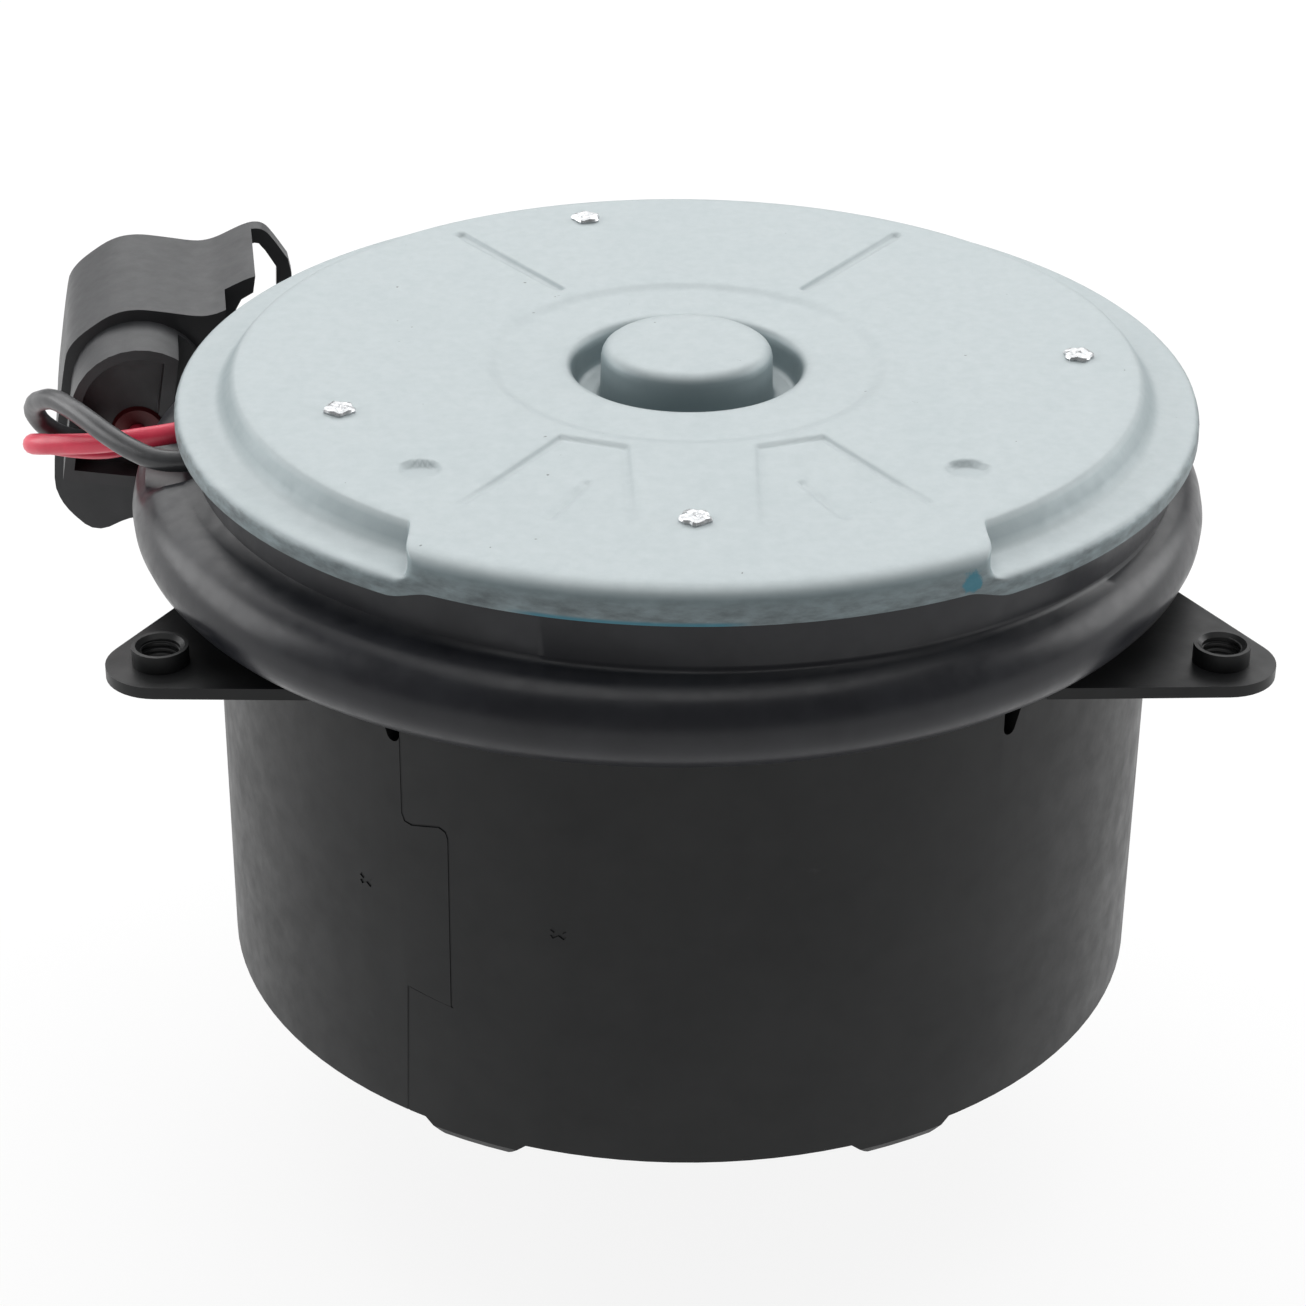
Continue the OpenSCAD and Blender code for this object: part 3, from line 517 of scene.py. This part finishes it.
def plate_profiles():
    """Radius and height from the middle to the rim, plain and where the raised face reaches the rim."""
    cup = [
        (2.5, 23.7), (5, 23.7), (7.2, 23.7), (8.1, 23.68), (8.7, 23.5), (9.15, 23.15), (9.4, 22.7),
        (9.5, 22.2), (9.55, 20), (9.6, 18.3), (9.75, 17.8), (10.1, 17.55), (10.6, 17.5), (11.6, 17.5),
        (12.1, 17.6), (12.4, 17.9), (12.5, 18.5), (12.6, 20), (12.75, 20.7), (13.05, 21.2), (13.5, 21.45),
        (14.1, DISH_Z),
    ]
    flat = np.concatenate([np.arange(14.8, 24, 0.42), np.arange(24, 46, 0.34), np.arange(46, 49, 0.42)])
    face = list(zip(flat, DISH_Z + (FACE_Z - DISH_Z) * smooth(flat, 20.6, 22.6)))
    plain = [
        (49.5, 21.88), (49.9, 21.75), (50.4, 21.2), (51, 20.2), (51.5, 19.5), (52.1, 19.1), (52.8, 19),
        (54, 19), (55.3, 19), (55.9, 18.9), (56.3, 18.6), (56.48, 18.1), (56.5, 17),
    ]
    front = [
        (50.2, FACE_Z), (51, FACE_Z), (51.8, FACE_Z), (52.6, FACE_Z), (53.5, 21.89), (54.2, 21.84),
        (54.8, 21.7), (55.3, 21.45), (55.7, 21.05), (55.95, 20.5), (56.1, 19.9), (56.2, 19), (56.2, 18.1),
    ]
    return np.array(cup + face + plain), np.array(cup + face + front)


def plate_columns(radius):
    """Angles of the mesh's columns on each row, bent so that they run along the two step walls."""
    angles = np.concatenate([np.arange(*run) for run in PLATE_RUNS])[:, None]
    wall = np.degrees(np.arccos(FRONT_X / np.clip(radius, WALL_FROM, None)))
    right = np.exp(-((angles + WALL_MIDDLE) / WALL_SPREAD) ** 2) * (WALL_MIDDLE - wall)
    left = np.exp(-((angles + 180 - WALL_MIDDLE) / WALL_SPREAD) ** 2) * (wall - WALL_MIDDLE)
    return np.radians(angles + right + left)


def plate_mesh():
    plain, front = plate_profiles()
    middle = (plain[:, 0] + front[:, 0]) / 2
    turn = plate_columns(middle)
    x_middle = middle * np.cos(turn)
    soft = 0.5 + 1.8 * smooth(plain[:, 0], 55.2, 56.4)
    in_front = (1 - smooth(np.abs(x_middle), FRONT_X - soft, FRONT_X + soft)) * (np.sin(turn) < 0)
    radius = plain[:, 0] + (front[:, 0] - plain[:, 0]) * in_front
    height = plain[:, 1] + (front[:, 1] - plain[:, 1]) * in_front
    x, y = radius * np.cos(turn), radius * np.sin(turn)
    height = height - pressed(x, y) * ((radius > 16) & (radius < WALL_FROM))
    points = np.stack([x, y, height], axis=-1)
    count, rows = x.shape
    faces = [
        (i * rows + j, i * rows + j + 1, (i + 1) % count * rows + j + 1, (i + 1) % count * rows + j)
        for i in range(count) for j in range(rows - 1)
    ]
    hub = count * rows
    faces += [(hub, i * rows, (i + 1) % count * rows) for i in range(count)]
    return new_mesh("end_plate_sheet", np.vstack([points.reshape(-1, 3), [(0, 0, points[0, 0, 2])]]), faces)


def thicken(obj, depth):
    """Gives a sheet its thickness on the inner side."""
    shell = obj.modifiers.new("sheet", "SOLIDIFY")
    shell.thickness = depth * MM
    shell.offset = -1


def make_end_plate():
    sheet = piece("end_plate_sheet", "zinc_steel", plate_mesh(), replaces=["end_plate"], crease=60)
    thicken(sheet, PLATE_T)


# ---- turned shapes ----

def lathe(name, section, steps=96, shape=None, closed=True):
    """Turns a section of (radius, height) points round Z. shape(points, angle) may change them on the way."""
    rows = np.array(section, float)
    angles = np.linspace(0, TAU, steps, endpoint=False)
    points = []
    for angle in angles:
        here = shape(rows.copy(), angle) if shape else rows
        shift = here[:, 2] if here.shape[1] > 2 else 0
        across, along = here[:, 0] * math.cos(angle) + shift, here[:, 0] * math.sin(angle)
        points.append(np.stack([across, along, here[:, 1]], -1))
    count = len(rows)
    last = count if closed else count - 1
    faces = []
    for i in range(steps):
        this, after = i * count, (i + 1) % steps * count
        faces += [(this + j, after + j, after + (j + 1) % count, this + (j + 1) % count) for j in range(last)]
    if not closed:
        faces.append([i * count for i in range(steps)])
        faces.append([i * count + count - 1 for i in range(steps)])
    return new_mesh(name, np.vstack(points), faces)


def ring_section_at(rows, angle):
    """The soft ring's section: taller behind the plate's front, cut down where the leads leave."""
    degrees = math.degrees(angle)
    front = smooth(degrees, 243, 250) * (1 - smooth(degrees, 290, 297))
    rows[:, 1] += np.where(rows[:, 1] > 17, 2.5 * front, 0)
    leaving = smooth(degrees, 176.2, 177) * (1 - smooth(degrees, 190.6, 191.4))
    limit = np.where(rows[:, 0] < 54.7, 10.2, 10.5)
    cut = limit + (rows[:, 1] - limit) * 0.02
    rows[:, 1] = np.where(rows[:, 1] > limit, rows[:, 1] + (cut - rows[:, 1]) * leaving, rows[:, 1])
    return rows


def make_sealing_ring():
    shift = RING_SHIFT
    section = [
        (51.3, 3.7, 0), (51.3, 17.4, 0), (51.6, 17.7, 0), (54.3, 17.7, 0), (54.6, 17.4, 0), (54.6, 12.9, 0),
        (54.8, 12.5, shift / 4), (55.2, 12.25, shift / 2), (56.2, 11.85, shift), (57.3, 11.4, shift),
        (58.1, 10.8, shift), (58.9, 9.8, shift), (59.4, 8.6, shift), (59.7, 7.2, shift), (59.6, 6, shift),
        (59.1, 4.8, shift), (58.3, 3.8, shift), (57.2, 3, shift), (55.8, 2.5, shift), (54.6, 2.3, shift / 2),
        (53.3, 2.2, 0), (53.1, 3.6, 0),
    ]
    mesh = lathe("sealing_ring_moulding", section, 360, ring_section_at)
    piece("sealing_ring_moulding", "soft_black", mesh, replaces=["sealing_ring"], crease=40)


def make_rivets():
    def star(rows, angle):
        lobes = 1 + 0.09 * math.cos(5 * angle) + 0.04 * math.cos(9 * angle + 1)
        rows[:, 0] *= np.where(rows[:, 1] > FACE_Z - 0.02, lobes, 1)
        rows[:, 1] += np.where(rows[:, 1] > 22.3, 0.06 * math.cos(5 * angle + 2), 0)
        return rows

    section = [
        (1.1, CARD_Z), (1.1, 21.8), (1.55, FACE_Z), (1.62, 22.1), (1.5, 22.36), (1.1, 22.48), (0.75, 22.36),
        (0.4, 22.44), (0.1, 22.4),
    ]
    rivets = []
    for radius, degrees in RIVETS:
        mesh = lathe("rivet", section, 30, star, closed=False)
        mesh.transform(turned(degrees) @ Matrix.Translation((radius * MM, 0, 0)))
        rivets.append(mesh)
    heads = joined("plate_rivet_heads", rivets)
    piece("plate_rivet_heads", "bright_steel", heads, replaces=["plate_rivets"], crease=25)


# ---- wound wire ----

def coil_mesh(name, radius, wire, start, end, turns, sides=8, steps=20):
    """A helix of round wire along X, with both ends capped."""
    count = int(turns * steps) + 1
    t = np.linspace(0, 1, count)
    along = start + wire + (end - start - 2 * wire) * t
    turn = TAU * turns * t
    centre = np.stack([along, radius * np.cos(turn), radius * np.sin(turn)], -1)
    outward = np.stack([0 * t, np.cos(turn), np.sin(turn)], -1)
    points = [
        centre + wire * (math.cos(a) * outward + math.sin(a) * np.array((1, 0, 0)))
        for a in np.linspace(0, TAU, sides, endpoint=False)
    ]
    points = np.stack(points, 1).reshape(-1, 3)
    faces = [
        (i * sides + j, (i + 1) * sides + j, (i + 1) * sides + (j + 1) % sides, i * sides + (j + 1) % sides)
        for i in range(count - 1) for j in range(sides)
    ]
    faces += [list(range(sides)), [(count - 1) * sides + j for j in range(sides)]]
    return new_mesh(name, points, faces)


def make_coils():
    for number, degrees in enumerate(BRUSH_ANGLES, 1):
        mesh = coil_mesh(f"spring_coil_{number}", 2.0, 0.28, BRUSH_BACK, SPRING_END, 7)
        turn = turned(degrees)
        mesh.transform(turn @ Matrix.Translation((0, 0, BRUSH_Z * MM)))
        spring = piece(f"spring_coil_{number}", "bright_steel", mesh, replaces=[f"brush_spring_{number}"])
        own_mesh(spring)
    coils = []
    for reach, degrees in CHOKES:
        mesh = coil_mesh("choke_coil", 2.42, 0.46, reach, reach + CHOKE_L, 10)
        mesh.transform(turned(degrees) @ Matrix.Translation((0, 0, CHOKE_Z * MM)))
        coils.append(mesh)
    piece("choke_turns", "copper", joined("choke_turns", coils), replaces=["choke_coils"])


# ---- connector ----

PLUG = (
    Matrix.Translation(Vector((-65.85, 31.4, 0)) * MM)
    @ Matrix.Rotation(math.radians(7), 4, "Z") @ Matrix.Rotation(math.radians(9.7), 4, "Y")
)
HOOD_L = 25
BARREL_L = 9
BARREL_LOW = -4.6
GUARD_FROM = 6.5
GUARD_LIP = 12.5
GUARD_BAR = 22.5
RECESS = -5.4
PINS = ((0, 1.2, 3.2), (-5.6, 0.6, 2))   # across, up, radius of the wire's seal
HOOD_OUTLINE = (
    (-9.4, -8.8), (-9.4, 7.3), (-8.9, 8.9), (-7.8, 10.5), (-5.2, 13), (-3.3, 14.1), (-1.1, 14.6), (2, 14.6),
    (6.1, 14.5), (8.2, 15.2), (11.2, 17.3), (12.6, 18), (13.8, 18.1), (14.9, 17.5), (19, 12.9), (19, -9),
    (15, -12.6), (5, -12.9), (1.1, -12.6), (-3.4, -15.6), (-7.6, -12.4),
)
GUARD_WINDOW = (
    (10.7, 10), (10.7, 14.3), (12.9, 16.1), (13.9, 16.1), (17, 12.4), (17, -8.4), (14.4, -10.8),
    (9, -10.8), (9, 8.4),
)


def rounded(points, rounds=2):
    """Cuts the corners of a closed outline again and again, so it never leaves its own hull."""
    outline = np.array(points, float)
    for _ in range(rounds):
        after = np.roll(outline, -1, axis=0)
        outline = np.stack([outline * 0.78 + after * 0.22, outline * 0.22 + after * 0.78], 1).reshape(-1, 2)
    return outline


def oval(half_w, half_h):
    shift = half_h - half_w
    return arc((0, shift), half_w, 0, 180, 16) + arc((0, -shift), half_w, 180, 360, 16)


def prism(outline, y_from, y_to):
    """A closed outline in X and Z, pushed along Y."""
    count = len(outline)
    points = [(x, y, z) for y in (y_from, y_to) for x, z in outline]
    faces = [list(range(count)), list(range(2 * count - 1, count - 1, -1))]
    faces += [(i, i + count, (i + 1) % count + count, (i + 1) % count) for i in range(count)]
    mesh = new_mesh("prism", points, faces)
    solid = bmesh.new()
    solid.from_mesh(mesh)
    bmesh.ops.recalc_face_normals(solid, faces=solid.faces)
    solid.to_mesh(mesh)
    solid.free()
    return mesh


def slab(low, high):
    """A box as a prism, from its lowest to its highest corner."""
    outline = [(low[0], low[2]), (high[0], low[2]), (high[0], high[2]), (low[0], high[2])]
    return prism(outline, low[1], high[1])


def carved(mesh, *steps):
    """Mesh after a list of (operation, other mesh) solid steps."""
    obj = bpy.data.objects.new("carved", mesh)
    bpy.context.scene.collection.objects.link(obj)
    for operation, other in steps:
        tool = bpy.data.objects.new("tool", other)
        bpy.context.scene.collection.objects.link(tool)
        change = obj.modifiers.new("carve", "BOOLEAN")
        change.operation = operation
        change.solver = "EXACT"
        change.object = tool
        seen = obj.evaluated_get(bpy.context.evaluated_depsgraph_get())
        result = bpy.data.meshes.new_from_object(seen)
        obj.modifiers.clear()
        obj.data = result
        bpy.data.objects.remove(tool)
    result = obj.data
    bpy.data.objects.remove(obj)
    return result


def make_connector():
    barrel = carved(
        prism(oval(8.3, 13.2), -BARREL_L, 1),
        ("INTERSECT", slab((-10, -BARREL_L - 1, BARREL_LOW), (10, 3, 20))),
        ("DIFFERENCE", carved(
            prism(oval(7.1, 12), -BARREL_L - 1, RECESS),
            ("INTERSECT", slab((-10, -BARREL_L - 2, BARREL_LOW + 1.4), (2, 0, 20))),
        )),
        ("DIFFERENCE", slab((1.8, -BARREL_L - 2, BARREL_LOW + 1.5), (12, RECESS + 0.1, BARREL_LOW + 9.7))),
        ("DIFFERENCE", slab((3.6, -BARREL_L - 2, BARREL_LOW + 1.2), (12, -1, 20))),
    )
    bores = []
    for x, z, radius in PINS:
        bores.append(("DIFFERENCE", prism(arc((x, z), radius, 0, 348.75, 31), -BARREL_L - 1, 2)))
        bores.append(("DIFFERENCE", prism(arc((x, z), 1.97, 0, 345, 23), -3, 5)))
    shell = carved(
        prism(rounded(HOOD_OUTLINE), 0, HOOD_L),
        ("DIFFERENCE", slab((9, -1, -25), (24, GUARD_FROM, 25))),
        ("DIFFERENCE", slab((GUARD_LIP, -2, -26), (25, GUARD_BAR, 26))),
        ("DIFFERENCE", prism(rounded(GUARD_WINDOW, 1), GUARD_FROM - 1, HOOD_L + 1)),
        ("UNION", barrel),
        ("UNION", slab((8, 2, -9), (11.8, 10, -4.5))),
        ("DIFFERENCE", prism(oval(7.2, 12.6), 4, HOOD_L + 1)),
        ("DIFFERENCE", slab((10.1, 3, -7.2), (15.1, 11, -5.6))),
        *bores,
    )
    shell.transform(PLUG)
    housing = piece("connector_shell", "plug_black", shell, replaces=["connector_housing"], crease=30)
    edge = housing.modifiers.new("edge", "BEVEL")
    edge.width = 0.3 * MM
    edge.segments = 2
    edge.limit_method = "ANGLE"
    edge.angle_limit = math.radians(40)


# ---- mounting ears ----

def make_threads():
    """The tapped thread inside the drawn boss of each ear, as its ridges."""
    upright = Matrix.Translation((EAR_REACH * MM, 0, 0)) @ Matrix.Rotation(-math.pi / 2, 4, "Y")
    ridges = []
    for degrees in EAR_ANGLES:
        ridge = coil_mesh("thread", EAR_TAP_R, 0.16, 0.2, EAR_TOP - 0.3, 4)
        ridge.transform(turned(degrees) @ upright)
        ridges.append(ridge)
    piece("ear_threads", "black_steel", joined("ear_threads", ridges))


make_end_plate()
make_sealing_ring()
make_rivets()
make_coils()
make_connector()
make_threads()


# ---- carried-over CAD nodes ----

def paint_cad_nodes():
    for part in frame["record"]["subparts"]:
        mesh = frame["nodes"][part["node"]].data
        mesh.materials.clear()
        mesh.materials.append(MATERIALS[part["material_slot"]])


paint_cad_nodes()
